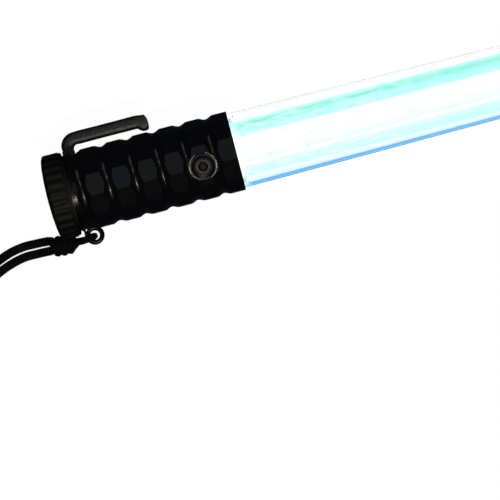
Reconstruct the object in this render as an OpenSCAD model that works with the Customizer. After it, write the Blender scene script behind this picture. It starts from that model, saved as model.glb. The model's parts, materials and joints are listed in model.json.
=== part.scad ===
// Hand-held traffic baton light: a faceted grip with a screwed tail cap, a belt
// clip, a lanyard eye with a wrist strap, a push button, and a lit clear tube.
// The baton lies on its tail cap along X, tail towards -X and clip towards +Y.
// All sizes are in millimetres.

/* [Overall] */
// Length from the tail cap's dome to the tip of the tube
total_len = 400; // [360:10:440]
// Radius over the tail cap's ribs
cap_r = 22.85; // [22.6:0.05:23.2]

/* [Grip] */
// Where the grip starts, from the tail
grip_start = 15.7; // [15.5:0.1:16]
// Length of the grip
grip_len = 86; // [84:1:96]
// Radius of the grip's long edges
grip_edge_r = 21.6; // [21.4:0.1:21.9]
// Spacing of the notches along each edge
notch_pitch = 14.15; // [14:0.05:14.3]
// Depth of a notch, measured from the edge
notch_depth = 2.15; // [1.2:0.05:2.3]
// Half of a notch's width along the baton
notch_half = 4.3; // [3.5:0.1:5]

/* [Tail cap] */
// Number of gripping ribs round the cap
cap_ribs = 28; // [20:1:32]
// Length of the cap
cap_len = 12.1; // [12:0.1:12.1]
// Pitch of the screw thread
thread_pitch = 3; // [2.8:0.1:3.2]

/* [Light tube] */
// Outer radius of the clear tube at the grip
tube_r = 20; // [19.6:0.1:20.2]
// Outer radius of the clear tube near its tip
tube_tip_r = 17.6; // [17.4:0.1:18.4]
// Wall of the clear tube
tube_wall = 2; // [1.5:0.1:2]
// Outer radius of the milky inner sleeve
sleeve_r = 14.8; // [14:0.1:15]

/* [Belt clip] */
// Height of the clip bar, seen along the pin
clip_bar_h = 6.6; // [6:0.1:6.6]
// Distance of the clip bar's middle line from the baton's axis
clip_bar_y = 28.4; // [28.4:0.1:28.8]
// Where the free end of the clip is, from the tail
clip_end = 60.9; // [56:0.1:66]

/* [Button] */
// Where the button is, from the tail
button_at = 83.1; // [83:0.1:83.2]
// Radius of the dished bezel
bezel_r = 6.8; // [6.6:0.05:6.9]
// How far the button travels
button_travel = 1; // [0.6:0.1:1]

/* [Wrist strap] */
// Diameter of one strand of the strap
strand_d = 5; // [4.4:0.1:5]

/* [Hidden] */

fit = 0.05;
arc_fn = 64;
clip_top_y = clip_bar_y + clip_bar_h / 2;
eye_reach = 28.6;
axis_y = (eye_reach - clip_top_y) / 2;
axis_z = cap_r;

// Grip and bushing
grip_end = grip_start + grip_len;
grip_bore_r = 18.2;
first_notch = 19.4;
notch_count = 6;
neck_r = 18.3;
bushing_bore_r = 16.2;
thread_root_r = 17.35;
thread_crest_r = 18.3;
cap_thread_root_r = 18.75;
cap_thread_crest_r = 17.75;

// Button: radial directions start from the baton's axis, turned off the vertical
button_turn = 15;
pad_r = 7.3;
pad_floor = 19.8;
flange_top = 19.8;
boss_face = 17.2;
nut_r = 6.3;
bezel_bore_r = 2.75;
neck_out_r = 4.4;
nut_face = 15.4;
switch_top = 15.4;
board_top = 10.6;
plunger_top = board_top + 5.8;

// Light tube: its spigot sits in the grip's bore, with a groove for the seal
tip_start = total_len - 14;
spigot_start = 92.5;
spigot_r = grip_bore_r - 0.1;
spigot_bore_r = 16;
groove_r = 17.2;
groove_start = 94.9;
groove_len = 1.4;
lamp_start = 98;
wire_y = 4;
strip_start = lamp_start + 3;
strip_holder_at = [150, 240, 330];

// Battery: three cells in a ring
cell_r = 7.1;
cell_ring = 8.7;
cell_start = 19.6;
cell_len = 49.2;

// Clip
clip_half_z = 3.1;
pin_s = 17;
lug_gap = 0.2;
lug_t = 1;
root_tail = 13.3;
pin_y = 21.2;
pin_r = 1;

// Lanyard eye
eye_s = 18.4;
eye_y = -23.5;
eye_z = -11.9;
eye_wire_r = 1.3;
eye_mean_r = 3.8;

// Strap: middle line of the closed wrist loop, lying on the floor
cord_z = strand_d / 2;
cord_route = [
    [-207.0, -21.4], [-214.0, -21.0], [-221.0, -21.0], [-228.5, -22.4], [-236.0, -25.2],
    [-245.0, -29.2], [-255.0, -33.0], [-266.0, -36.0], [-278.0, -38.6], [-290.0, -41.4],
    [-301.0, -44.6], [-311.0, -49.0], [-318.2, -55.6], [-321.0, -64.5], [-317.6, -73.2],
    [-309.4, -78.2], [-299.4, -78.2], [-289.2, -74.2], [-280.0, -67.2], [-271.0, -59.0],
    [-262.0, -50.4], [-253.0, -42.0], [-244.0, -35.2], [-236.0, -30.9], [-228.6, -28.1],
    [-221.0, -26.5], [-214.0, -26.4], [-207.0, -26.6]
];
// Thin link through the eye: centres seen from above, with heights
link_d = 2.6;
link_route = [
    [-193.6, -25.8, 7.6], [-190.6, -26.3, 9.8], [-187.8, -26.5, 12.8], [-185.6, -26.4, 14.2],
    [-183.4, -25.8, 13.4], [-182.1, -25.4, 11.0], [-182.6, -25.5, 8.6], [-184.9, -25.9, 7.0],
    [-189.0, -25.7, 5.2], [-193.6, -25.2, 4.2]
];

// Places children with the baton's axis as +Z, starting at distance s from the tail.
// The children's -X then points up and their +Y stays +Y.
module along(s = 0) {
    translate([s - total_len / 2, axis_y, axis_z]) rotate([0, 90, 0]) children();
}

// Places children with the button's outward direction as +Z, from the axis
module at_button() {
    translate([button_at - total_len / 2, axis_y, axis_z]) rotate([button_turn, 0, 0]) children();
}

// Places children at distance s, offset y and z from the axis, without turning them
module at_side(s, y, z = 0) {
    translate([s - total_len / 2, axis_y + y, axis_z + z]) children();
}

// Tube between two radii
module ring(outer, inner, h) {
    rotate_extrude($fn = arc_fn) translate([inner, 0]) square([outer - inner, h]);
}

// Closed solid through rings of points; each ring turns right-handed about the travel
module skin(rings) {
    n = len(rings[0]);
    m = len(rings);
    polyhedron(
        points = [for (points = rings) each points],
        faces = concat(
            [[for (i = [0:n - 1]) i]],
            [for (j = [0:m - 2], i = [0:n - 1]) [j * n + i, (j + 1) * n + i, (j + 1) * n + (i + 1) % n]],
            [for (j = [0:m - 2], i = [0:n - 1]) [j * n + i, (j + 1) * n + (i + 1) % n, j * n + (i + 1) % n]],
            [[for (i = [n - 1:-1:0]) (m - 1) * n + i]]
        )
    );
}

function unit(v) = v / norm(v);
// Direction of travel at point i of a route
function travel(p, i) = unit(p[min(i + 1, len(p) - 1)] - p[max(i - 1, 0)]);
function ring_at(c, t, up, r, n) =
    let (side = unit(cross(up, t)), top = cross(t, side))
    [for (k = [0:n - 1]) c + r * (cos(360 * k / n) * side + sin(360 * k / n) * top)];

// Round cord along a route of 3-D points
module cord(p, r, sides, up = [0, 0, 1]) {
    skin([for (i = [0:len(p) - 1]) ring_at(p[i], travel(p, i), up, r, sides)]);
}

// Coil spring along +Z whose mean radius goes from r0 to r1
module coil(turns, length, r0, r1, wire_r, steps = 14, sides = 6) {
    count = ceil(turns * steps);
    skin([
        for (j = [0:count])
            let (t = j / count, a = 360 * turns * t, r = r0 + (r1 - r0) * t)
            [
                for (k = [0:sides - 1])
                    let (b = 360 * k / sides, q = r - wire_r * cos(b))
                    [q * cos(a), q * sin(a), wire_r + (length - 2 * wire_r) * t + wire_r * sin(b)]
            ]
    ]);
}

// Screw thread ridge on a cylinder, along +Z, right-handed; crest and root are radii
module thread(root, crest, pitch, turns, phase = 0, steps = 24) {
    base = pitch * 0.27;
    top = pitch * 0.1;
    sunk = sign(root - crest) * 0.15;
    count = ceil(turns * steps);
    profile = root < crest
        ? [[root + sunk, base], [crest, top], [crest, -top], [root + sunk, -base]]
        : [[root + sunk, base], [root + sunk, -base], [crest, -top], [crest, top]];
    skin([
        for (j = [0:count])
            let (a = phase + 360 * turns * j / count)
            [for (p = profile) [p[0] * cos(a), p[0] * sin(a), base + pitch * turns * j / count + p[1]]]
    ]);
}

// --- Grip ---

// Side profile of everything outside one notched edge: x along the baton, y outwards
module notch_comb() {
    valley = grip_edge_r - notch_depth;
    land = 0.5;
    for (i = [0:notch_count - 1])
        translate([first_notch + i * notch_pitch - grip_start, 0])
            polygon([
                [-notch_half, grip_edge_r], [-land - 0.5, valley + 0.2], [-land, valley],
                [land, valley], [land + 0.5, valley + 0.2], [notch_half, grip_edge_r],
                [notch_half, grip_edge_r + 1], [-notch_half, grip_edge_r + 1]
            ]);
}

module notch_cutter() {
    rotate([0, -90, -90]) linear_extrude(14, center = true) notch_comb();
}

module grip_shell() {
    color([0.03, 0.03, 0.035]) difference() {
        union() {
            difference() {
                along(grip_start) rotate([0, 0, 15]) cylinder(r = grip_edge_r, h = grip_len, $fn = 12);
                along(grip_start) for (k = [0:11]) rotate([0, 0, 15 + 30 * k]) notch_cutter();
                along(grip_start - 1) cylinder(r = grip_bore_r, h = grip_len + 2, $fn = arc_fn);
            }
            intersection() {
                at_button() translate([0, 0, boss_face]) cylinder(r = 7.6, h = 3, $fn = arc_fn);
                along(grip_start) cylinder(r = 19.5, h = grip_len, $fn = arc_fn);
            }
        }
        at_button() translate([0, 0, pad_floor]) cylinder(r = pad_r, h = 5, $fn = arc_fn);
        at_button() translate([0, 0, 12]) cylinder(r = neck_out_r + 0.15, h = 10, $fn = arc_fn);
        at_side(grip_start - 1, 17, -4.9) cube([5.2, 6, 9.8]);
    }
}

// --- Tail ---

module tail_bushing() {
    color([0.08, 0.08, 0.085]) union() {
        difference() {
            along(3.2) rotate_extrude($fn = arc_fn)
                polygon([
                    [bushing_bore_r, 0], [thread_root_r, 0], [thread_root_r, 8], [neck_r, 8],
                    [neck_r, 11.1], [20.2, 11.1], [20.2, 12.5], [grip_bore_r - fit, 12.5],
                    [grip_bore_r - fit, 26], [bushing_bore_r, 26]
                ]);
            at_side(grip_start - 1.6, 18.4, -4.9) cube([5.5, 4, 9.8]);
        }
        along(3.8) thread(thread_root_r, thread_crest_r - fit, thread_pitch, 1.5);
    }
}

module tail_cap() {
    rib_step = 360 / cap_ribs;
    color([0.035, 0.035, 0.04]) union() {
        difference() {
            along() rotate_extrude($fn = arc_fn)
                polygon([
                    [0, 0], [9, 0], [14, 0.35], [18, 0.8], [21.3, 1.5], [cap_r - 0.5, 2.3],
                    [cap_r - 0.5, cap_len], [cap_thread_root_r, cap_len], [cap_thread_root_r, 3],
                    [0, 3]
                ]);
            along(9.6) ring(19.7, cap_thread_root_r - 0.5, 1.8);
        }
        along() for (k = [0:cap_ribs - 1]) rotate([0, 0, rib_step * k])
            translate([cap_r - 1.2, 0, 1.7]) rib();
    }
}

// Thread ridge on the inside of the cap, moulded in one with it
module cap_thread() {
    color([0.035, 0.035, 0.04])
        along(3.9) thread(cap_thread_root_r, cap_thread_crest_r, thread_pitch, 1.25, 180);
}

// One gripping rib, standing on the cap's side
module rib() {
    rotate([90, 0, 0]) linear_extrude(2.5, center = true)
        polygon([[0, 0.2], [0.75, 0], [1.2, 0.5], [1.2, cap_len - 2], [0.9, cap_len - 1.7], [0, cap_len - 1.7]]);
}

module cap_o_ring() {
    color([0.02, 0.02, 0.02]) along(9.65) ring(19.65, neck_r + fit, 1.7);
}

module cap_gasket() {
    color([0.02, 0.02, 0.02]) along(cap_len + fit) ring(20.3, neck_r + fit, 1.05);
}

module cap_contact() {
    color("gold") along(3.05) difference() {
        cylinder(r = 14, h = 0.5, $fn = arc_fn);
        translate([0, 0, -1]) cylinder(r = 3, h = 2, $fn = arc_fn);
    }
}

module battery_spring() {
    color("silver") along(3.6) coil(5, 10.2, 9, 4, 0.5);
}

// --- Belt clip ---

// Keyed steel washer with folded lugs for the clip and a tab for the lanyard eye
module clip_collar() {
    ring_s = cap_len + 1.15;
    lug_z = clip_half_z + lug_gap;
    color([0.6, 0.6, 0.62]) difference() {
        union() {
            along(ring_s) cylinder(r = 20.9, h = 0.95, $fn = arc_fn);
            for (z = [lug_z, -lug_z - lug_t]) {
                at_side(ring_s, 18.6, z) cube([6, 3.4, lug_t]);
                at_side(pin_s, pin_y, z) cylinder(r = 2.5, h = lug_t, $fn = arc_fn);
            }
            at_side(ring_s, -22.9, -14.4) cube([0.95, 9, 5.2]);
        }
        along(ring_s - 1) cylinder(r = neck_r + fit, h = 3, $fn = arc_fn);
        at_side(pin_s, pin_y, -8) cylinder(r = pin_r, h = 16, $fn = arc_fn);
    }
}

module clip_pin() {
    color("silver") at_side(pin_s, pin_y) {
        lug_out = clip_half_z + lug_gap + lug_t;
        translate([0, 0, -lug_out]) cylinder(r = pin_r, h = 2 * lug_out, $fn = arc_fn);
        translate([0, 0, lug_out]) cylinder(r = 1.8, h = 0.4, $fn = arc_fn);
        translate([0, 0, -lug_out - 0.4]) cylinder(r = 1.8, h = 0.4, $fn = arc_fn);
    }
}

module clip_spring() {
    color("silver") at_side(pin_s, pin_y, -1) coil(2.5, 2, 1.6, 1.6, 0.25, 16, 6);
}

// Outline of the clip in the plane of the baton: a root that bends into a long arm
module clip_outline() {
    half = clip_bar_h / 2;
    bend = 7.4;
    inner_bend = 2.6;
    root_x = root_tail - pin_s;
    front_x = root_x + clip_bar_h;
    outer_y = clip_bar_y + half - pin_y;
    inner_y = clip_bar_y - half - pin_y;
    end_x = clip_end - pin_s;
    knuckle_r = 2.3;
    steps = 8;
    polygon([
        for (a = [180:-90 / steps:90]) [root_x + bend + bend * cos(a), outer_y - bend + bend * sin(a)],
        [end_x - 8, outer_y],
        for (a = [80:-20:-80]) [end_x - 2.9 + 2.9 * cos(a), outer_y - 2.9 + 2.9 * sin(a)],
        for (a = [0:-30:-180]) [end_x - 1.9 + 1.6 * cos(a), inner_y - 0.9 + 1.3 * sin(a)],
        [end_x - 5.6, inner_y],
        for (a = [90:90 / steps:180])
            [front_x + inner_bend + inner_bend * cos(a), inner_y - inner_bend + inner_bend * sin(a)],
        for (a = [0:-20:-180]) [knuckle_r * cos(a), knuckle_r * sin(a)],
        [-knuckle_r, 1], [root_x, 2]
    ]);
}

module belt_clip() {
    color([0.25, 0.26, 0.28]) at_side(pin_s, pin_y) difference() {
        translate([0, 0, -clip_half_z]) linear_extrude(2 * clip_half_z) clip_outline();
        translate([0, 0, -clip_half_z - 1]) cylinder(r = pin_r + fit, h = 2 * clip_half_z + 2, $fn = arc_fn);
        translate([0, 0, -1.15]) cylinder(r = 3.4, h = 2.3, $fn = arc_fn);
    }
}

// --- Lanyard eye ---

module lanyard_eye() {
    color([0.3, 0.3, 0.32]) difference() {
        at_side(eye_s, eye_y, eye_z) rotate_extrude($fn = arc_fn)
            translate([eye_mean_r, 0]) circle(r = eye_wire_r, $fn = 24);
        at_side(cap_len + 1.15 - 3, eye_y - 8, eye_z - 3) cube([3.95, 16, 6]);
    }
}

// --- Battery ---

module at_cells() {
    for (k = [0:2]) rotate([0, 0, 120 * k]) translate([cell_ring, 0, 0]) children();
}

module carrier_frame() {
    color([0.1, 0.1, 0.11]) {
        difference() {
            union() {
                along(14.3) cylinder(r = 15.9, h = 2, $fn = arc_fn);
                along(71.4) cylinder(r = 15.9, h = 2, $fn = arc_fn);
                along(16) cylinder(r = 1.4, h = 55.6, $fn = arc_fn);
                along(16) for (k = [0:2]) rotate([0, 0, 60 + 120 * k]) translate([13.6, 0, 0])
                    cylinder(r = 2, h = 55.6, $fn = arc_fn);
            }
            along(13.8) cylinder(r = 4.5, h = 0.9, $fn = arc_fn);
            along(72.7) cylinder(r = 3.05, h = 2, $fn = arc_fn);
        }
    }
}

module battery_cells() {
    color([0.1, 0.35, 0.2]) along(cell_start) at_cells() {
        cylinder(r = cell_r, h = cell_len, $fn = arc_fn);
        translate([0, 0, cell_len]) cylinder(r = 2.6, h = 1.3, $fn = arc_fn);
    }
}

module carrier_springs() {
    color("silver") along(16.85) at_cells() coil(3, 2.7, 4.6, 2.6, 0.3, 12, 6);
}

module carrier_contacts() {
    color("silver") {
        along(16.3) at_cells() cylinder(r = 5.5, h = 0.5, $fn = arc_fn);
        along(70.15) at_cells() cylinder(r = 4, h = 1.2, $fn = arc_fn);
    }
}

module end_contact() {
    color("gold") {
        along(13.8) cylinder(r = 4.4, h = 0.9, $fn = arc_fn);
        along(72.7) cylinder(r = 3, h = 1.5, $fn = arc_fn);
    }
}

// --- Driver board and switch, under the button ---

module driver_board() {
    color([0.05, 0.3, 0.15]) at_button() translate([-6.6, -11.6, board_top - 1.6]) cube([20.4, 23.2, 1.6]);
}

module board_parts() {
    color([0.06, 0.06, 0.06]) at_button() translate([0, 0, board_top]) {
        translate([7.2, -8, 0]) cube([5, 6, 1.6]);
        translate([7, 2, 0]) cube([5.4, 5.4, 3]);
        translate([-5, 7, 0]) cube([3.2, 1.6, 1]);
        translate([-5, 9.6, 0]) cube([3.2, 1.6, 1]);
        translate([-5, -9.6, 0]) cube([3.2, 1.6, 1]);
    }
}

module contact_finger() {
    color("gold") {
        along(74.25) cylinder(r = 5, h = 0.5, $fn = arc_fn);
        at_button() translate([-8.5, -2, 1]) cube([0.6, 4, board_top - 0.5]);
        at_button() translate([-8.5, -2, board_top]) cube([4, 4, 0.5]);
    }
}

module switch_body() {
    color([0.08, 0.08, 0.08]) at_button() difference() {
        translate([-3.9, -3.9, board_top]) cube([7.8, 7.8, switch_top - board_top - 0.6]);
        translate([0, 0, board_top + 0.8]) cylinder(r = 1.05, h = 8, $fn = arc_fn);
    }
}

module switch_plunger() {
    color("white") at_button() translate([0, 0, board_top + 1.4 + button_travel])
        cylinder(r = 1, h = plunger_top - board_top - 1.4 - button_travel, $fn = arc_fn);
}

module button_cap() {
    stem_r = 1.3;
    head_r = bezel_bore_r - 0.1;
    shoulder = 20.7;
    dome_h = 1.05;
    color([0.02, 0.02, 0.02]) at_button() rotate_extrude($fn = arc_fn)
        polygon([
            [0, plunger_top], [stem_r, plunger_top], [stem_r, flange_top - 0.85],
            [3.5, flange_top - 0.85], [3.5, flange_top], [head_r, flange_top], [head_r, shoulder],
            for (a = [15:15:90]) [head_r * cos(a), shoulder + dome_h * sin(a)]
        ]);
}

module button_spring() {
    color("silver") at_button() translate([0, 0, 15.1]) coil(3.5, 3.8, 2.1, 2.1, 0.22, 14, 6);
}

module button_bezel() {
    rim = 22.1;
    color([0.6, 0.6, 0.62]) at_button() rotate_extrude($fn = arc_fn)
        polygon([
            [bezel_bore_r, 19.85], [bezel_bore_r, 20.75], [3.4, 20.85], [4.4, 21.1], [5.3, 21.5],
            [6.1, 22], [6.4, rim], [bezel_r - 0.1, rim - 0.05], [bezel_r, rim - 0.25], [bezel_r, 20.4],
            [neck_out_r, 20.4], [neck_out_r, nut_face], [3.7, nut_face], [3.7, 19.85]
        ]);
}

module bezel_seal() {
    color([0.02, 0.02, 0.02]) at_button() translate([0, 0, pad_floor]) ring(6.5, neck_out_r + fit, 0.6);
}

module bezel_nut() {
    color("silver") at_button() translate([0, 0, nut_face]) difference() {
        cylinder(r = nut_r, h = boss_face - nut_face, $fn = 6);
        translate([0, 0, -1]) cylinder(r = neck_out_r + fit, h = 4, $fn = arc_fn);
    }
}

// --- Lamp ---

module lamp_base() {
    color([0.85, 0.85, 0.85]) difference() {
        along(lamp_start) cylinder(r = 14, h = 3, $fn = arc_fn);
        for (y = [-wire_y, wire_y]) at_side(lamp_start - 1, y) rotate([0, 90, 0])
            cylinder(r = 0.8, h = 6, $fn = 24);
    }
}

module base_leds() {
    color([0.8, 0.95, 1]) along(strip_start) for (k = [0:5])
        rotate([0, 0, 30 + 60 * k]) translate([9, 0, 0]) {
            cylinder(r = 2.4, h = 2.5, $fn = 24);
            translate([0, 0, 2.5]) intersection() {
                sphere(r = 2.4, $fn = 24);
                cylinder(r = 3, h = 3, $fn = 24);
            }
        }
}

module tube_seal() {
    color([0.02, 0.02, 0.02]) along(groove_start + 0.1)
        ring(grip_bore_r - fit, groove_r + fit, groove_len - 0.2);
}

module light_tube() {
    bore_r = tube_r - tube_wall;
    tip_bore_r = tube_tip_r - tube_wall;
    tip_len = total_len - tip_start;
    steps = 8;
    color([0.75, 0.9, 1, 0.3]) along() rotate_extrude($fn = arc_fn)
        polygon([
            [spigot_bore_r, spigot_start], [spigot_r, spigot_start], [spigot_r, groove_start],
            [groove_r, groove_start], [groove_r, groove_start + groove_len],
            [spigot_r, groove_start + groove_len], [spigot_r, grip_end + fit],
            [tube_r, grip_end + fit], [tube_tip_r, tip_start],
            for (a = [90 / steps:90 / steps:90]) [tube_tip_r * cos(a), tip_start + tip_len * sin(a)],
            for (a = [90:-90 / steps:0]) [tip_bore_r * cos(a), tip_start + (tip_len - tube_wall) * sin(a)],
            [bore_r, grip_end + 3], [spigot_bore_r, grip_end]
        ]);
}

module sleeve() {
    color([0.9, 0.97, 1, 0.6]) along(lamp_start) difference() {
        cylinder(r = sleeve_r, h = tip_start - lamp_start, $fn = arc_fn);
        translate([0, 0, -1]) cylinder(r = sleeve_r - 0.75, h = tip_start, $fn = arc_fn);
    }
}

module sleeve_end() {
    color([0.9, 0.97, 1]) along(tip_start) cylinder(r = sleeve_r, h = 1.5, $fn = arc_fn);
}

module led_strip() {
    color([0.9, 0.9, 0.9]) at_side(strip_start, -6, -0.6) cube([tip_start - strip_start, 12, 1.2]);
}

module strip_leds() {
    spacing = 20;
    count = floor((tip_start - 125) / spacing);
    color([0.85, 0.95, 1]) for (i = [0:count], side = [-1, 1])
        at_side(118 + i * spacing, 0, side * 1.4) cube([5, 5, 1.6], center = true);
}

// Clips that hold the strip in the middle of the sleeve
module strip_holder() {
    color([0.9, 0.9, 0.9]) for (s = strip_holder_at) difference() {
        along(s) cylinder(r = sleeve_r - 0.8, h = 2, $fn = arc_fn);
        along(s - 1) cylinder(r = sleeve_r - 2.4, h = 4, $fn = arc_fn);
    }
    color([0.9, 0.9, 0.9]) for (s = strip_holder_at, side = [-1, 1])
        at_side(s, side * 9.3 - 3.3, -1) cube([2, 6.6, 2]);
}

module lead_wires() {
    color([0.6, 0.1, 0.1]) for (y = [-wire_y, wire_y]) at_side(lamp_start - 1.1, y)
        rotate([0, 90, 0]) cylinder(r = 0.7, h = 4.1, $fn = 24);
}

// --- Wrist strap ---

module strap_link() {
    color([0.03, 0.03, 0.03]) cord(link_route, link_d / 2, 8);
}

module strap_knot() {
    lengths = [-7.6, -6.8, -4.6, -1.4, 2.2, 5.4, 7.4, 8.2];
    sizes = [2.6, 4.5, 5.5, 5.8, 5.85, 5.2, 3.6, 1.8];
    color([0.03, 0.03, 0.03]) skin([
        for (j = [0:len(lengths) - 1])
            [
                for (k = [0:11])
                    [lengths[j] - 199, -25.6 + sizes[j] * cos(30 * k), 5.9 + sizes[j] * sin(30 * k)]
            ]
    ]);
}

module wrist_cord() {
    color([0.03, 0.03, 0.03]) cord([for (p = cord_route) [p[0], p[1], cord_z]], cord_z, 8);
}

grip_shell();
tail_bushing();
tail_cap();
cap_thread();
cap_o_ring();
cap_gasket();
battery_spring();
cap_contact();
clip_collar();
clip_pin();
clip_spring();
belt_clip();
lanyard_eye();
carrier_frame();
battery_cells();
carrier_springs();
carrier_contacts();
end_contact();
driver_board();
board_parts();
contact_finger();
switch_body();
switch_plunger();
button_cap();
button_spring();
button_bezel();
bezel_seal();
bezel_nut();
lamp_base();
base_leds();
tube_seal();
light_tube();
sleeve();
sleeve_end();
led_strip();
strip_leds();
strip_holder();
lead_wires();
strap_link();
strap_knot();
wrist_cord();
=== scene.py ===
"""Looks of the traffic baton light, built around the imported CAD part. Sizes are in metres."""
import json
import math

import bpy
from mathutils import Matrix, Vector


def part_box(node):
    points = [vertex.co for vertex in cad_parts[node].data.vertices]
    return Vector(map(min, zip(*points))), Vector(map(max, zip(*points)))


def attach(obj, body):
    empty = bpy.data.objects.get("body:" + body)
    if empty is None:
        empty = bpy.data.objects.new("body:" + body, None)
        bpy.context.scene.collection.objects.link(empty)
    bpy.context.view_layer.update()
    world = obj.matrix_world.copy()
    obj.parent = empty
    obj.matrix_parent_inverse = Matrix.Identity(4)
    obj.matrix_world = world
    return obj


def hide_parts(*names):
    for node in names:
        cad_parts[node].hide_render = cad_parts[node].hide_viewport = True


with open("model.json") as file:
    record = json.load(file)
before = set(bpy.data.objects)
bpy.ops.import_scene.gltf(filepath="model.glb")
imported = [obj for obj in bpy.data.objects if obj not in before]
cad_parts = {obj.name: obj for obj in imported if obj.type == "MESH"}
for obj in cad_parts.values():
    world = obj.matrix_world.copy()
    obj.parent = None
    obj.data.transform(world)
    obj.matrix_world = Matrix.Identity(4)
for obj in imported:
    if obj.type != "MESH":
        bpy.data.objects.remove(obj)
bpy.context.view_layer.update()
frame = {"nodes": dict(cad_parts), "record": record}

MM = 0.001
NODES = frame["nodes"]
cap_low, cap_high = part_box("tail_cap")
grip_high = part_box("grip_shell")[1]
tube_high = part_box("light_tube")[1]
TAIL_X = cap_low.x
AXIS_Y = (cap_low.y + cap_high.y) / 2
AXIS_Z = (cap_low.z + cap_high.z) / 2
TUBE_R = 20 * MM
TUBE_TIP_R = 17.6 * MM


def on_axis(s, y=0.0, z=0.0):
    """Point at s millimetres from the tail, y and z millimetres off the baton's axis."""
    return Vector((TAIL_X + s * MM, AXIS_Y + y * MM, AXIS_Z + z * MM))


# ---------------------------------------------------------------- camera

VIEW_TURN = math.radians(14.57)     # the baton runs this much up to the right in the view
VIEW_TILT = math.radians(3.0)       # the camera leans this far towards -Y from straight down
VIEW_DISTANCE = 1.573
LENS = 216.0
LOOK_AT = on_axis(95.7, -52.4)


def make_camera():
    data = bpy.data.cameras.new("camera")
    data.lens = LENS
    data.sensor_width = 36.0
    data.clip_start = 0.05
    data.clip_end = 20.0
    camera = bpy.data.objects.new("camera", data)
    back = Vector((0, -math.sin(VIEW_TILT), math.cos(VIEW_TILT)))
    up = Vector((math.sin(VIEW_TURN), math.cos(VIEW_TURN), 0))
    right = up.cross(back).normalized()
    up = back.cross(right)
    turn = Matrix((right, up, back)).transposed().to_4x4()
    camera.matrix_world = Matrix.Translation(LOOK_AT + back * VIEW_DISTANCE) @ turn
    bpy.context.scene.collection.objects.link(camera)
    bpy.context.scene.camera = camera


make_camera()


# ---------------------------------------------------------------- mesh helpers

UP = Vector((0, 0, 1))
YARN_SIDES = 6
YARN_FULLNESS = 1.1     # above 1, neighbouring yarns press into each other
BRAID_CORE = 0.87       # of the braid's radius


def mesh_object(name, verts, faces, material, smooth=True):
    mesh = bpy.data.meshes.new(name)
    mesh.from_pydata([tuple(v) for v in verts], [], faces)
    mesh.validate()
    mesh.update()
    for polygon in mesh.polygons:
        polygon.use_smooth = smooth
    piece = bpy.data.objects.new(name, mesh)
    if material:
        piece.data.materials.append(material)
    bpy.context.scene.collection.objects.link(piece)
    return piece


def spline(points, step):
    """Smooth path through the points, with about one point per step."""
    path = []
    last = len(points) - 1
    for i in range(last):
        p0 = points[max(i - 1, 0)]
        p1, p2 = points[i], points[i + 1]
        p3 = points[min(i + 2, last)]
        count = max(2, round((p2 - p1).length / step))
        for j in range(count):
            t = j / count
            path.append(
                0.5 * (2 * p1 + (p2 - p0) * t + (2 * p0 - 5 * p1 + 4 * p2 - p3) * t ** 2
                       + (3 * p1 - p0 - 3 * p2 + p3) * t ** 3)
            )
    path.append(points[-1].copy())
    return path


def frames_along(path):
    """(point, side, top, distance) at each point of a path, without twist."""
    frames = []
    side = None
    distance = 0.0
    for i, point in enumerate(path):
        ahead = path[min(i + 1, len(path) - 1)] - path[max(i - 1, 0)]
        ahead.normalize()
        if side is None:
            side = UP.cross(ahead)
        side = (side - ahead * side.dot(ahead)).normalized()
        if i:
            distance += (point - path[i - 1]).length
        frames.append((point, side.copy(), ahead.cross(side), distance))
    return frames


def skin(rings):
    """Vertices and faces of a tube, closed at both ends, through rings of equal length."""
    n = len(rings[0])
    verts = [v for ring in rings for v in ring]
    faces = []
    for j in range(len(rings) - 1):
        for i in range(n):
            k = (i + 1) % n
            faces.append((j * n + i, j * n + k, (j + 1) * n + k, (j + 1) * n + i))
    faces.append(tuple(reversed(range(n))))
    faces.append(tuple((len(rings) - 1) * n + i for i in range(n)))
    return verts, faces


def join(parts):
    """One set of vertices and faces from several."""
    verts, faces = [], []
    for part_verts, part_faces in parts:
        start = len(verts)
        verts += part_verts
        faces += [tuple(i + start for i in face) for face in part_faces]
    return verts, faces


def round_tube(frames, radius, sides):
    rings = [
        [p + radius * (math.cos(a) * side + math.sin(a) * top)
         for a in (2 * math.pi * k / sides for k in range(sides))]
        for p, side, top, _ in frames
    ]
    return skin(rings)


def braid(path, radius, yarns=8, turn=0.015):
    """A plain braid over a core: yarns of each direction pass over and under each other.

    turn is the length in which a yarn goes once round."""
    frames = frames_along(path)
    yarn_angle = math.atan(2 * math.pi * radius / turn)
    half_width = YARN_FULLNESS * math.pi * radius / yarns * math.cos(yarn_angle)
    half_thick = 0.125 * radius
    waviness = 0.6 * half_thick
    middle = radius - half_thick - waviness
    parts = [round_tube(frames[::3] + frames[-1:], radius * BRAID_CORE, 16)]
    for way in (1, -1):
        for k in range(yarns):
            rings = []
            for point, side, top, distance in frames:
                a = way * 2 * math.pi * distance / turn + 2 * math.pi * (k + 0.25 * way) / yarns
                lift = way * math.cos(2 * math.pi * yarns * distance / turn)
                outward = math.cos(a) * side + math.sin(a) * top
                around = -math.sin(a) * side + math.cos(a) * top
                centre = point + outward * (middle + waviness * lift)
                rings.append([
                    centre + half_width * math.cos(b) * around + half_thick * math.sin(b) * outward
                    for b in (2 * math.pi * m / YARN_SIDES for m in range(YARN_SIDES))
                ])
            parts.append(skin(rings))
    return join(parts)


def cut(piece, *cutters):
    """Cuts the cutters' solids out of a piece, and removes the cutters."""
    for cutter in cutters:
        change = piece.modifiers.new("cut", "BOOLEAN")
        change.operation = "DIFFERENCE"
        change.solver = "EXACT"
        change.object = cutter
    bpy.context.view_layer.update()
    seen = piece.evaluated_get(bpy.context.evaluated_depsgraph_get())
    mesh = bpy.data.meshes.new_from_object(seen)
    piece.modifiers.clear()
    piece.data = mesh
    for cutter in cutters:
        bpy.data.objects.remove(cutter)


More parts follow.
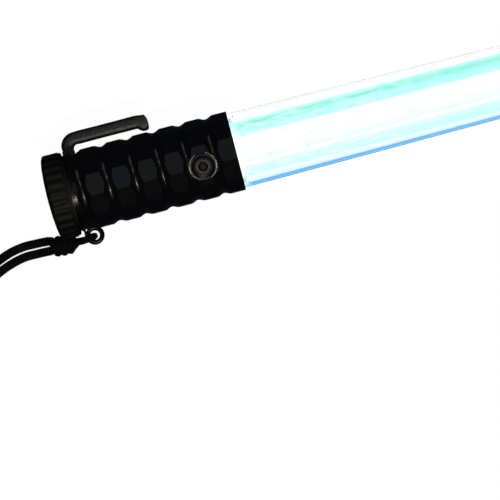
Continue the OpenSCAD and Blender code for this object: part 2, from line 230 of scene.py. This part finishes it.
def smooth_below(piece, degrees):
    """Smooth shading across edges that turn less than this."""
    for polygon in piece.data.polygons:
        polygon.use_smooth = True
    piece.data.set_sharp_from_angle(angle=math.radians(degrees))


def cylinder_solid(name, base, direction, radius, height, sides=96):
    """Cylinder from its base's centre along a direction."""
    ahead = direction.normalized()
    side = ahead.orthogonal().normalized()
    frames = [(base, side, ahead.cross(side), 0), (base + ahead * height, side, ahead.cross(side), 0)]
    return mesh_object(name, *round_tube(frames, radius, sides), None, smooth=False)


def box_solid(name, low, high):
    ends = list(zip(low, high))
    corners = [Vector((x, y, z)) for x in ends[0] for y in ends[1] for z in ends[2]]
    faces = [(0, 1, 3, 2), (4, 6, 7, 5), (0, 4, 5, 1), (2, 3, 7, 6), (0, 2, 6, 4), (1, 5, 7, 3)]
    return mesh_object(name, corners, faces, None, smooth=False)


def round_ring(s, radii, angles):
    """Points round the baton's axis at s; a radius for each angle, measured from up towards +Y."""
    return [on_axis(s, r * math.sin(a), r * math.cos(a)) for r, a in zip(radii, angles)]


def place_piece(piece, body, slot_name, *nodes):
    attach(piece, body)
    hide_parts(*nodes)


# ---------------------------------------------------------------- materials

class Nodes:
    """A material with one principled shader, and short ways to add nodes to it."""

    def __init__(self, name, color, roughness, **sockets):
        self.material = bpy.data.materials.new(name)
        self.material.use_nodes = True
        self.tree = self.material.node_tree
        self.shader = self.tree.nodes["Principled BSDF"]
        self.shader.inputs["Base Color"].default_value = (*color, 1)
        self.shader.inputs["Roughness"].default_value = roughness
        for socket, value in sockets.items():
            self.shader.inputs[socket.replace("_", " ")].default_value = value
        self.place = self.add("ShaderNodeTexCoord").outputs["Object"]

    def add(self, kind, **values):
        node = self.tree.nodes.new(kind)
        for key, value in values.items():
            setattr(node, key, value)
        return node

    def link(self, out, into):
        self.tree.links.new(out, into)

    def noise(self, scale, detail=2.0, roughness=0.5):
        node = self.add("ShaderNodeTexNoise")
        node.inputs["Scale"].default_value = scale
        node.inputs["Detail"].default_value = detail
        node.inputs["Roughness"].default_value = roughness
        self.link(self.place, node.inputs["Vector"])
        return node.outputs["Fac"]

    def ramp(self, fac, stops):
        node = self.add("ShaderNodeValToRGB")
        while len(node.color_ramp.elements) < len(stops):
            node.color_ramp.elements.new(0.5)
        for element, (at, color) in zip(node.color_ramp.elements, stops):
            element.position = at
            element.color = (*color, 1)
        self.link(fac, node.inputs["Fac"])
        return node.outputs["Color"]

    def span(self, fac, low, high):
        node = self.add("ShaderNodeMapRange")
        node.inputs["To Min"].default_value = low
        node.inputs["To Max"].default_value = high
        self.link(fac, node.inputs["Value"])
        return node.outputs["Result"]

    def bump(self, height, distance):
        node = self.add("ShaderNodeBump")
        node.inputs["Distance"].default_value = distance
        node.inputs["Strength"].default_value = 1.0
        self.link(height, node.inputs["Height"])
        if self.shader.inputs["Normal"].is_linked:
            self.link(self.shader.inputs["Normal"].links[0].from_socket, node.inputs["Normal"])
        self.link(node.outputs["Normal"], self.shader.inputs["Normal"])

    def varied(self, socket, fac, low, high):
        self.link(self.span(fac, low, high), self.shader.inputs[socket])


def gloss_black():
    """Moulded black with a dull, fine orange-peel skin."""
    m = Nodes("gloss_black", (0.002, 0.0022, 0.0028), 0.5, Specular_IOR_Level=0.2)
    m.varied("Roughness", m.noise(160, 4), 0.44, 0.58)
    m.bump(m.noise(900, 3), 0.00003)
    m.bump(m.noise(3500, 2), 0.000006)
    return m.material


def ribbed_black():
    """Moulded black of the tail cap, with a coarser, duller grain than the grip."""
    m = Nodes("ribbed_black", (0.0024, 0.0028, 0.0042), 0.6, Specular_IOR_Level=0.2)
    m.varied("Roughness", m.noise(300, 4), 0.52, 0.68)
    m.bump(m.noise(1800, 3), 0.00002)
    return m.material


def satin_black():
    """The grip's black: even and smoother, with a fine matt tooth."""
    m = Nodes("satin_black", (0.0024, 0.0027, 0.0038), 0.24, Specular_IOR_Level=0.34)
    m.varied("Roughness", m.noise(260, 4), 0.2, 0.28)
    m.bump(m.noise(2600, 2), 0.000012)
    m.bump(m.noise(500, 3), 0.000015)
    return m.material


def rubber():
    m = Nodes("rubber", (0.004, 0.004, 0.004), 0.6, Specular_IOR_Level=0.3)
    m.varied("Roughness", m.noise(400, 3), 0.5, 0.75)
    m.bump(m.noise(3000, 2), 0.00005)
    return m.material


def metal(name, color, roughness, grain=1500):
    """Bare metal with a fine grain and uneven polish."""
    m = Nodes(name, color, roughness, Metallic=1.0)
    m.varied("Roughness", m.noise(grain / 4, 4), roughness - 0.06, roughness + 0.12)
    m.bump(m.noise(grain, 3), 0.00002)
    return m.material


def gunmetal():
    """Cast clip: dark metal with a grainy, slightly speckled skin."""
    m = Nodes("gunmetal", (0.04, 0.04, 0.042), 0.42, Metallic=0.9)
    speckle = m.ramp(m.noise(1400, 3, 0.7), [
        (0.35, (0.02, 0.021, 0.026)), (0.62, (0.054, 0.058, 0.068)), (0.8, (0.13, 0.13, 0.13)),
    ])
    m.link(speckle, m.shader.inputs["Base Color"])
    m.varied("Roughness", m.noise(500, 3), 0.36, 0.55)
    m.bump(m.noise(1800, 3), 0.00007)
    return m.material


def plain(name, color, roughness):
    """Moulded or lacquered part inside the baton: one colour, uneven gloss and a fine grain."""
    m = Nodes(name, color, roughness)
    m.varied("Roughness", m.noise(800 / 3, 3), roughness * 0.8, roughness * 1.2)
    m.bump(m.noise(800, 2), 0.00003)
    return m.material


def woven():
    """Black polyester yarn: fine fibres along the weave, and a little fuzz."""
    m = Nodes("woven_cord", (0.004, 0.004, 0.005), 0.75, Specular_IOR_Level=0.12)
    fibres = m.ramp(m.noise(700, 3), [(0.3, (0.001, 0.001, 0.0016)), (0.75, (0.005, 0.005, 0.007))])
    m.link(fibres, m.shader.inputs["Base Color"])
    m.shader.inputs["Sheen Weight"].default_value = 0.03
    m.shader.inputs["Sheen Roughness"].default_value = 0.4
    m.bump(m.noise(5000, 2), 0.00012)
    return m.material


def lateral(m):
    """Share across the tube, from 0 at its -Y edge to 1 at its +Y edge, and the place along X."""
    place = m.add("ShaderNodeSeparateXYZ")
    m.link(m.place, place.inputs["Vector"])
    half = m.add("ShaderNodeMapRange")
    half.inputs["From Min"].default_value = grip_high.x
    half.inputs["From Max"].default_value = tube_high.x
    half.inputs["To Min"].default_value = 2 * TUBE_R
    half.inputs["To Max"].default_value = 2 * TUBE_TIP_R
    m.link(place.outputs["X"], half.inputs["Value"])
    shift = m.add("ShaderNodeMath", operation="SUBTRACT")
    shift.inputs[1].default_value = AXIS_Y
    m.link(place.outputs["Y"], shift.inputs[0])
    share = m.add("ShaderNodeMath", operation="DIVIDE")
    m.link(shift.outputs["Value"], share.inputs[0])
    m.link(half.outputs["Result"], share.inputs[1])
    middle = m.add("ShaderNodeMath", operation="ADD")
    middle.inputs[1].default_value = 0.5
    m.link(share.outputs["Value"], middle.inputs[0])
    return middle.outputs["Value"], place.outputs["X"]


def clear_plastic():
    """Clear tube with painted light: a painted blue edge of light along its -Y side, a painted warm white
    edge along its +Y side, and a faint painted glow just past the grip's end.
    """
    m = Nodes("clear_plastic", (0.97, 1.0, 1.0), 0.03, Transmission_Weight=1.0, IOR=1.07)
    across, along = lateral(m)
    # Painted light: the tube's colour is set by side, a blue edge of light along -Y and a warm white edge
    # along +Y. The Layer Weight mix below puts this colour on the grazing edges.
    tint = m.ramp(across, [
        (0.0, (0.06, 0.36, 0.94)), (0.03, (0.1, 0.44, 0.96)), (0.044, (0.78, 0.97, 1.0)),
        (0.14, (0.97, 0.999, 1.0)), (0.86, (0.99, 1.0, 1.0)), (0.95, (1.0, 1.0, 1.0)),
        (0.985, (1.0, 0.995, 0.98)),
    ])
    layer = m.add("ShaderNodeLayerWeight")
    edge = m.ramp(layer.outputs["Facing"], [(0.3, (0.1, 0.1, 0.1)), (0.55, (1, 1, 1))])
    m.link(mixed(m, edge, (0.97, 0.995, 1.0), tint), m.shader.inputs["Base Color"])
    m.varied("Roughness", m.noise(60, 3), 0.02, 0.06)
    # Painted glow: emission on the clear tube, fading out within a few millimetres past the grip's end.
    painted_glow_fade = m.add("ShaderNodeMapRange")
    painted_glow_fade.inputs["From Min"].default_value = grip_high.x + 0.5 * MM
    painted_glow_fade.inputs["From Max"].default_value = grip_high.x + 4.5 * MM
    m.link(along, painted_glow_fade.inputs["Value"])
    glow = m.ramp(painted_glow_fade.outputs["Result"], [(0.0, (0.12, 0.2, 0.2)), (1.0, (0, 0, 0))])
    m.link(glow, m.shader.inputs["Emission Color"])
    m.shader.inputs["Emission Strength"].default_value = 1.0
    return m.material


def streaks(m, along, across):
    """Noise drawn out along the baton; each scale is in cells per metre."""
    scaled = m.add("ShaderNodeMapping")
    scaled.inputs["Scale"].default_value = (along, across, across)
    m.link(m.place, scaled.inputs["Vector"])
    node = m.add("ShaderNodeTexNoise")
    node.inputs["Scale"].default_value = 1.0
    node.inputs["Detail"].default_value = 3.0
    m.link(scaled.outputs["Vector"], node.inputs["Vector"])
    return node.outputs["Fac"]


def mixed(m, fac, first, second):
    """Blend of two colours, each a colour or a node's output."""
    node = m.add("ShaderNodeMix", data_type="RGBA")
    m.link(fac, node.inputs["Factor"])
    for value, socket in ((first, node.inputs["A"]), (second, node.inputs["B"])):
        if isinstance(value, tuple):
            socket.default_value = (*value, 1)
        else:
            m.link(value, socket)
    return node.outputs["Result"]


def lit_sleeve():
    """Milky sleeve lit from inside: sea green on its +Y side, white and ice blue elsewhere."""
    m = Nodes("lit_sleeve", (0.05, 0.06, 0.06), 0.4, Specular_IOR_Level=0.2)
    across, along = lateral(m)
    bands = m.ramp(across, [
        (0.12, (0.46, 0.9, 0.97)), (0.2, (0.6, 0.97, 0.96)), (0.25, (0.72, 0.985, 0.95)),
        (0.262, (1.0, 1.0, 1.0)), (0.275, (1.0, 1.0, 1.0)), (0.29, (0.76, 0.985, 0.95)),
        (0.44, (0.9, 0.995, 0.97)), (0.485, (1.0, 1.0, 1.0)), (0.62, (1.0, 1.0, 1.0)),
        (0.64, (0.48, 0.94, 0.9)), (0.73, (0.34, 0.9, 0.8)), (0.79, (0.22, 0.77, 0.62)),
        (0.84, (0.28, 0.85, 0.75)), (0.9, (0.6, 0.96, 0.94)),
    ])
    patches = m.ramp(streaks(m, 120, 330), [(0.42, (0, 0, 0)), (0.6, (1, 1, 1))])
    near = m.add("ShaderNodeMapRange")
    near.inputs["From Min"].default_value = grip_high.x
    near.inputs["From Max"].default_value = grip_high.x + 0.13
    near.inputs["To Min"].default_value = 0.4
    near.inputs["To Max"].default_value = 0.12
    m.link(along, near.inputs["Value"])
    amount = m.add("ShaderNodeMath", operation="MULTIPLY")
    m.link(patches, amount.inputs[0])
    m.link(near.outputs["Result"], amount.inputs[1])
    lighter = mixed(m, amount.outputs["Value"], bands, (1.0, 1.0, 1.0))
    dots = m.ramp(streaks(m, 200, 420), [(0.6, (0, 0, 0)), (0.7, (1, 1, 1))])
    tint = m.add("ShaderNodeMath", operation="MULTIPLY")
    m.link(dots, tint.inputs[0])
    m.link(near.outputs["Result"], tint.inputs[1])
    glow = mixed(m, tint.outputs["Value"], lighter, (0.3, 0.84, 0.66))
    m.link(glow, m.shader.inputs["Emission Color"])
    m.shader.inputs["Emission Strength"].default_value = 1.06
    m.bump(streaks(m, 40, 500), 0.00006)
    return m.material


GLOSS = gloss_black()
SATIN = satin_black()
RIBBED = ribbed_black()
RUBBER = rubber()
WOVEN = woven()
CLEAR = clear_plastic()
LIT = lit_sleeve()
STEEL = metal("bright_steel", (0.5, 0.5, 0.52), 0.22)
GUNMETAL = gunmetal()
BEZEL = metal("bezel_metal", (0.045, 0.045, 0.052), 0.36, 1200)
COLLAR = metal("collar_metal", (0.022, 0.022, 0.024), 0.26, 900)
BRASS = metal("brass", (0.75, 0.58, 0.28), 0.3)
CELL = plain("cell_wrap", (0.05, 0.25, 0.12), 0.35)
BOARD = plain("board_green", (0.02, 0.12, 0.05), 0.4)
WHITE = plain("white_plastic", (0.8, 0.8, 0.8), 0.4)
DARK = plain("dark_parts", (0.03, 0.03, 0.03), 0.5)
LED = plain("led", (0.9, 1.0, 1.0), 0.3)
WIRE = plain("wire", (0.4, 0.03, 0.03), 0.4)

LOOKS = {
    "black_gloss": GLOSS, "black_satin": SATIN, "rubber": RUBBER, "bright_steel": STEEL,
    "dark_steel": GUNMETAL, "chrome": BEZEL, "brass": BRASS, "cell_wrap": CELL, "board": BOARD,
    "white_board": WHITE, "dark_parts": DARK, "white_plastic": WHITE, "led": LED,
    "clear_tube": CLEAR, "milky_sleeve": LIT, "wire": WIRE, "woven_cord": WOVEN,
}

NODE_LOOKS = {"clip_collar": COLLAR, "clip_pin": COLLAR, "lanyard_eye": COLLAR}

for part in frame["record"]["subparts"]:
    mesh = NODES[part["node"]].data
    mesh.materials.clear()
    mesh.materials.append(NODE_LOOKS.get(part["node"], LOOKS[part["material_slot"]]))


# ---------------------------------------------------------------- wrist strap

STRAND_R = 2.5 * MM
CORD_Z = STRAND_R
CORD_ROUTE = [
    (-204.5, -22.4), (-207.0, -21.4), (-214.0, -21.0), (-221.0, -21.0), (-228.5, -22.4), (-236.0, -25.2),
    (-245.0, -29.2), (-255.0, -33.0), (-266.0, -36.0), (-278.0, -38.6), (-290.0, -41.4),
    (-301.0, -44.6), (-311.0, -49.0), (-318.2, -55.6), (-321.0, -64.5), (-317.6, -73.2),
    (-309.4, -78.2), (-299.4, -78.2), (-289.2, -74.2), (-280.0, -67.2), (-271.0, -59.0),
    (-262.0, -50.4), (-253.0, -42.0), (-244.0, -35.2), (-236.0, -30.9), (-228.6, -28.1),
    (-221.0, -26.5), (-214.0, -26.4), (-207.0, -26.6), (-204.5, -26.4),
]
LINK_R = 1.9 * MM
LINK_ROUTE = [
    (-193.6, -25.8, 7.6), (-190.6, -26.3, 9.8), (-187.8, -26.5, 12.8), (-185.6, -26.4, 14.2),
    (-183.4, -25.8, 13.4), (-182.1, -25.4, 11.0), (-182.6, -25.5, 8.6), (-184.9, -25.9, 7.0),
    (-189.0, -25.7, 5.2), (-193.6, -25.2, 4.2),
]
KNOT_CENTRE = Vector((-198.9, -25.6, 5.9)) * MM
KNOT_TURNS = 3.3
KNOT_WRAP_HALF = 5.7 * MM       # half the length of the wound part, strand centre to centre
KNOT_CORE_HALF = 7.5 * MM


def make_knot():
    """Barrel knot: a strand wound round itself, tapering at both ends."""
    points = []
    count = 60
    for i in range(count + 1):
        t = i / count
        a = 2 * math.pi * KNOT_TURNS * t + 0.6
        edge = abs(2 * t - 1) ** 3
        r = (3.7 - 1.1 * edge) * MM
        x = KNOT_WRAP_HALF * (2 * t - 1)
        points.append(KNOT_CENTRE + Vector((x, r * math.cos(a), r * math.sin(a))))
    wraps = braid(points, 2.2 * MM, turn=0.013)
    core = []
    for j in range(17):
        t = -1 + j / 8
        r = 5.0 * MM * math.sqrt(max(1 - abs(t) ** 3, 0.05))
        core.append([
            KNOT_CENTRE + Vector((KNOT_CORE_HALF * t, r * math.sin(b), r * math.cos(b)))
            for b in (-2 * math.pi * k / 24 for k in range(24))
        ])
    knot = mesh_object("strap_wrap", *join([wraps, skin(core)]), WOVEN)
    place_piece(knot, "root", "woven_cord", "strap_knot")
    return knot


def make_link():
    path = spline([Vector(p) * MM for p in LINK_ROUTE], 0.35 * MM)
    link = mesh_object("strap_loop", *braid(path, LINK_R, yarns=6, turn=0.009), WOVEN)
    place_piece(link, "root", "woven_cord", "strap_link")
    return link


def make_strap():
    points = [Vector((x * MM, y * MM, CORD_Z)) for x, y in CORD_ROUTE]
    path = spline(points, 0.45 * MM)
    strap = mesh_object("strap_cord", *braid(path, STRAND_R), WOVEN)
    place_piece(strap, "root", "woven_cord", "wrist_cord")
    make_knot()
    make_link()


make_strap()


# ---------------------------------------------------------------- grip

# Millimetres from the axis, or along it from the tail
GRIP_S = (15.7, 101.7)
EDGE_R = 21.6
EDGE_CHAMFER = 0.25
BORE_R = 18.2
NOTCH_FLOOR = 19.9
NOTCH_HALF = 3.9
NOTCH_FIRST = 19.4
NOTCH_PITCH = 14.15
NOTCH_AT = [NOTCH_FIRST + NOTCH_PITCH * i for i in range(6)]
CROWN = 26.0                    # radius of the crowned notch faces, seen along the baton
COMB_HALF = math.radians(15)    # half the turn from one edge of the grip to the next
CLEAR_OF_EDGE = 0.15            # how far a notch cutter stays off the edge between notches
PAD_FLOOR = 19.8                # flat seat of the button's bezel
PAD_R = 7.3
BUTTON_HOLE_R = 4.55
POCKET = ((14.7, 17, -4.9), (19.9, 23, 4.9))    # room for the collar's lugs and the clip's root
BUTTON_TURN = math.radians(15)
BUTTON_OUT = Vector((0, -math.sin(BUTTON_TURN), math.cos(BUTTON_TURN)))
BUTTON_AT = on_axis(83.1)


def notch_profile():
    """(s, height) of a comb that dips into the grip's edge at each notch."""
    above = EDGE_R + CLEAR_OF_EDGE
    profile = [(GRIP_S[0] - 1, EDGE_R + 2), (GRIP_S[0] - 1, above)]
    for at in NOTCH_AT:
        for k in range(-10, 11):
            share = abs(k / 10) ** 1.3
            off = math.copysign(NOTCH_HALF * share, k)
            height = NOTCH_FLOOR + (above - NOTCH_FLOOR) * share ** 1.6
            if at + off > GRIP_S[0] - 0.9:
                profile.append((at + off, height))
    profile += [(GRIP_S[1] + 1, above), (GRIP_S[1] + 1, EDGE_R + 2)]
    return profile


def notch_comb(turn):
    """Cutter for all the notches of one edge, which is turned this far from up towards +Y."""
    profile = notch_profile()
    back = CROWN - NOTCH_FLOOR
    rings = []
    for k in range(12, -13, -1):
        a = COMB_HALF * k / 12
        ring = []
        for s, height in profile:
            out = (height + back) * math.cos(a) - back
            around = (height + back) * math.sin(a)
            y = out * math.sin(turn) + around * math.cos(turn)
            z = out * math.cos(turn) - around * math.sin(turn)
            ring.append(on_axis(s, y, z))
        rings.append(ring)
    return mesh_object("comb", *skin(rings), None, smooth=False)


def make_grip():
    turns = [math.radians(30 * k + 15) for k in range(12)]
    outline = [
        (GRIP_S[0], EDGE_R - EDGE_CHAMFER), (GRIP_S[0] + EDGE_CHAMFER, EDGE_R),
        (GRIP_S[1] - EDGE_CHAMFER, EDGE_R), (GRIP_S[1], EDGE_R - EDGE_CHAMFER),
    ]
    rings = [round_ring(s, [r] * 12, [-a for a in turns]) for s, r in outline]
    grip = mesh_object("grip_body", *skin(rings), SATIN)
    ahead = Vector((1, 0, 0))
    bore = cylinder_solid("bore", on_axis(GRIP_S[0] - 1), ahead, BORE_R * MM, 88 * MM, 128)
    pad = BUTTON_AT + BUTTON_OUT * PAD_FLOOR * MM
    recess = cylinder_solid("recess", pad, BUTTON_OUT, PAD_R * MM, 5 * MM)
    within = BUTTON_AT + BUTTON_OUT * 12 * MM
    hole = cylinder_solid("hole", within, BUTTON_OUT, BUTTON_HOLE_R * MM, 9 * MM)
    pocket = box_solid("pocket", on_axis(*POCKET[0]), on_axis(*POCKET[1]))
    cut(grip, *[notch_comb(turn) for turn in turns], bore, recess, hole, pocket)
    smooth_below(grip, 12)
    place_piece(grip, "root", "black_gloss", "grip_shell")


make_grip()


# ---------------------------------------------------------------- tail cap

CAP_RIBS = 28
RIB_SQUARENESS = 1.8


def rib_wave(angle):
    """From 0 in a groove to 1 on a rib, with rounded shoulders; one rib points straight down."""
    wave = math.cos(CAP_RIBS * (angle - math.pi))
    return 0.5 + 0.5 * math.tanh(RIB_SQUARENESS * wave) / math.tanh(RIB_SQUARENESS)


def make_cap():
    """Ribbed cup turned from a closed profile of (s, radius, height of the ribs there)."""
    count = CAP_RIBS * 24
    angles = [2 * math.pi * (i + 0.5) / count for i in range(count)]
    waves = [rib_wave(a) for a in angles]
    profile = [
        (0.0, 0.02, 0), (0.0, 8.9, 0), (0.12, 9.4, 0), (0.35, 14, 0), (0.8, 18, 0), (1.15, 20, 0),
        (1.5, 21.2, 0), (1.9, 21.9, 0.0), (2.15, 22.2, 0.15), (2.45, 22.25, 0.45), (2.9, 22.3, 0.55),
        (3.5, 22.3, 0.55), (9.4, 22.3, 0.55), (10.2, 22.3, 0.55), (10.6, 22.28, 0.5), (10.85, 22.25, 0.2),
        (11.0, 22.25, 0), (11.8, 22.25, 0), (12.0, 22.15, 0), (12.1, 21.9, 0), (12.1, 19.7, 0),
        (12.1, 18.75, 0), (3.05, 18.75, 0), (3.0, 18.6, 0), (3.0, 0.02, 0),
    ]
    rings = [round_ring(s, [r + rise * w for w in waves], angles) for s, r, rise in profile]
    cap = mesh_object("cap_body", *skin(rings), RIBBED)
    smooth_below(cap, 35)
    place_piece(cap, "tail_cap", "black_gloss", "tail_cap")


make_cap()


# ---------------------------------------------------------------- belt clip

PIN = (17.0, 21.2)
PIN_HOLE_R = 1.06
CLIP_HALF_Z = 3.1
CLIP_SQUARENESS = 2.9       # power of the clip's section: 2 is an ellipse, more is squarer
BEND_S = 21.4               # where the clip's bend ends and its bar starts
BAR_LENGTH = 33.2
BAR_RISE = 6.6              # the bar's middle line, out from the pin
SLOT_R = 3.4                # slot in the knuckle, round its spring
SLOT_HALF = 1.15


def clip_path():
    """(s, y, half width) in millimetres along the clip's middle line, from its knuckle to its lip."""
    x, y = PIN
    path = [
        (x - 0.05, y - 2.1, 0.7), (x - 0.05, y - 1.7, 1.6), (x - 0.05, y - 0.8, 2.2),
        (x - 0.1, y + 0.6, 2.6), (x - 0.3, y + 1.4, 3.2), (x - 0.38, y + 2.0, 3.3),
    ]
    for k in range(1, 9):
        a = math.pi / 2 * k / 8
        half = 3.4 + 0.15 * math.sin(2 * a)
        path.append((BEND_S - 4.8 * math.cos(a), y + 2.3 + 4.3 * math.sin(a), half))
    for k in range(1, 15):
        t = k / 14
        path.append((BEND_S + BAR_LENGTH * t, y + BAR_RISE, 3.55 - 0.1 * math.sin(math.pi * t)))
    path += [(55.8, y + 6.4, 3.6), (57.0, y + 5.85, 4.0), (58.2, y + 5.4, 4.4), (59.2, y + 5.3, 4.35)]
    path += [(60.0, y + 5.35, 3.8), (60.5, y + 5.4, 2.8), (60.75, y + 5.4, 1.4)]
    return path


def make_clip():
    path = clip_path()
    sides = 36
    rings = []
    for i, (s, y, half) in enumerate(path):
        s0, y0, _ = path[max(i - 1, 0)]
        s1, y1, _ = path[min(i + 1, len(path) - 1)]
        ahead = Vector((s1 - s0, y1 - y0)).normalized()
        out = Vector((-ahead.y, ahead.x))
        ring = []
        for k in range(sides):
            a = 2 * math.pi * k / sides
            c, d = math.cos(a), math.sin(a)
            size = (abs(c) ** CLIP_SQUARENESS + abs(d) ** CLIP_SQUARENESS) ** (-1 / CLIP_SQUARENESS)
            across = half * c * size
            ring.append(on_axis(s + out.x * across, y + out.y * across, -CLIP_HALF_Z * d * size))
        rings.append(ring)
    clip = mesh_object("clip_body", *skin(rings), GUNMETAL)
    pin_centre = on_axis(*PIN)
    pin_hole = cylinder_solid("pin_hole", pin_centre - UP * 5 * MM, UP, PIN_HOLE_R * MM, 10 * MM, 48)
    slot_base = pin_centre - UP * SLOT_HALF * MM
    slot = cylinder_solid("slot", slot_base, UP, SLOT_R * MM, 2 * SLOT_HALF * MM, 64)
    cut(clip, pin_hole, slot)
    smooth_below(clip, 50)
    place_piece(clip, "belt_clip", "dark_steel", "belt_clip")


make_clip()

SOFTENED = {"clip_collar": 0.15, "lanyard_eye": 0.1, "clip_pin": 0.15, "button_bezel": 0.1}

for name, width in SOFTENED.items():
    soften = NODES[name].modifiers.new("soften", "BEVEL")
    soften.width = width * MM
    soften.segments = 3
    soften.limit_method = "ANGLE"
    soften.angle_limit = math.radians(35)
    soften.harden_normals = True


# ---------------------------------------------------------------- stage and light

def make_floor():
    """Pale table lit from within, so the baton lies on an even, nearly shadowless ground."""
    size = 3.0
    corners = [(-size, -size, 0), (size, -size, 0), (size, size, 0), (-size, size, 0)]
    look = Nodes("floor", (0.1, 0.1, 0.1), 0.9, Specular_IOR_Level=0.0)
    look.varied("Roughness", look.noise(20, 2), 0.85, 0.95)
    look.shader.inputs["Emission Color"].default_value = (1, 1, 1, 1)
    look.shader.inputs["Emission Strength"].default_value = 0.97
    floor = mesh_object("floor", corners, [(0, 1, 2, 3)], look.material, smooth=False)
    floor.location.z = -0.0002
    floor.visible_glossy = False
    floor.visible_diffuse = False


HANDLE = on_axis(60)


def area_light(name, out, distance, size, power, color, length=None):
    """Oval light on the handle, in a direction from it; length runs along the baton."""
    data = bpy.data.lights.new(name, "AREA")
    data.shape = "ELLIPSE"
    data.size = length or size
    data.size_y = size
    data.energy = power
    data.color = color
    light = bpy.data.objects.new(name, data)
    back = Vector(out).normalized()
    ahead = (Vector((1, 0, 0)) - back * back.x).normalized()
    turned = Matrix((ahead, back.cross(ahead), back)).transposed().to_4x4()
    light.matrix_world = Matrix.Translation(HANDLE + back * distance) @ turned
    bpy.context.scene.collection.objects.link(light)


def make_world():
    """Pale for the camera and through the tube, dim for reflections and for light on the baton."""
    world = bpy.data.worlds.new("world")
    world.use_nodes = True
    tree = world.node_tree
    dim = tree.nodes["Background"]
    dim.inputs["Color"].default_value = (0.66, 0.8, 1.0, 1)
    dim.inputs["Strength"].default_value = 0.03
    pale = tree.nodes.new("ShaderNodeBackground")
    pale.inputs["Color"].default_value = (0.97, 0.97, 0.97, 1)
    path = tree.nodes.new("ShaderNodeLightPath")
    mix = tree.nodes.new("ShaderNodeMixShader")
    seen = tree.nodes.new("ShaderNodeMath")
    seen.operation = "MAXIMUM"
    tree.links.new(path.outputs["Is Camera Ray"], seen.inputs[0])
    tree.links.new(path.outputs["Is Transmission Ray"], seen.inputs[1])
    tree.links.new(seen.outputs["Value"], mix.inputs["Fac"])
    tree.links.new(dim.outputs["Background"], mix.inputs[1])
    tree.links.new(pale.outputs["Background"], mix.inputs[2])
    tree.links.new(mix.outputs["Shader"], tree.nodes["World Output"].inputs["Surface"])
    bpy.context.scene.world = world


make_floor()
make_world()
area_light("key", (0.02, -0.43, 0.9), 1.2, 0.1, 6.0, (1.0, 0.9, 0.68), 0.55)
area_light("side", (0.2, 0.36, 0.9), 1.3, 0.08, 1.3, (1.0, 0.9, 0.72), 0.35)
area_light("window", (0.35, 0.75, 0.7), 1.3, 0.5, 1.0, (0.75, 0.85, 1.0))
area_light("overhead", (-0.1, 0.09, 0.98), 1.5, 0.5, 0.24, (0.66, 0.8, 1.0))
bpy.context.scene.view_settings.view_transform = "Standard"
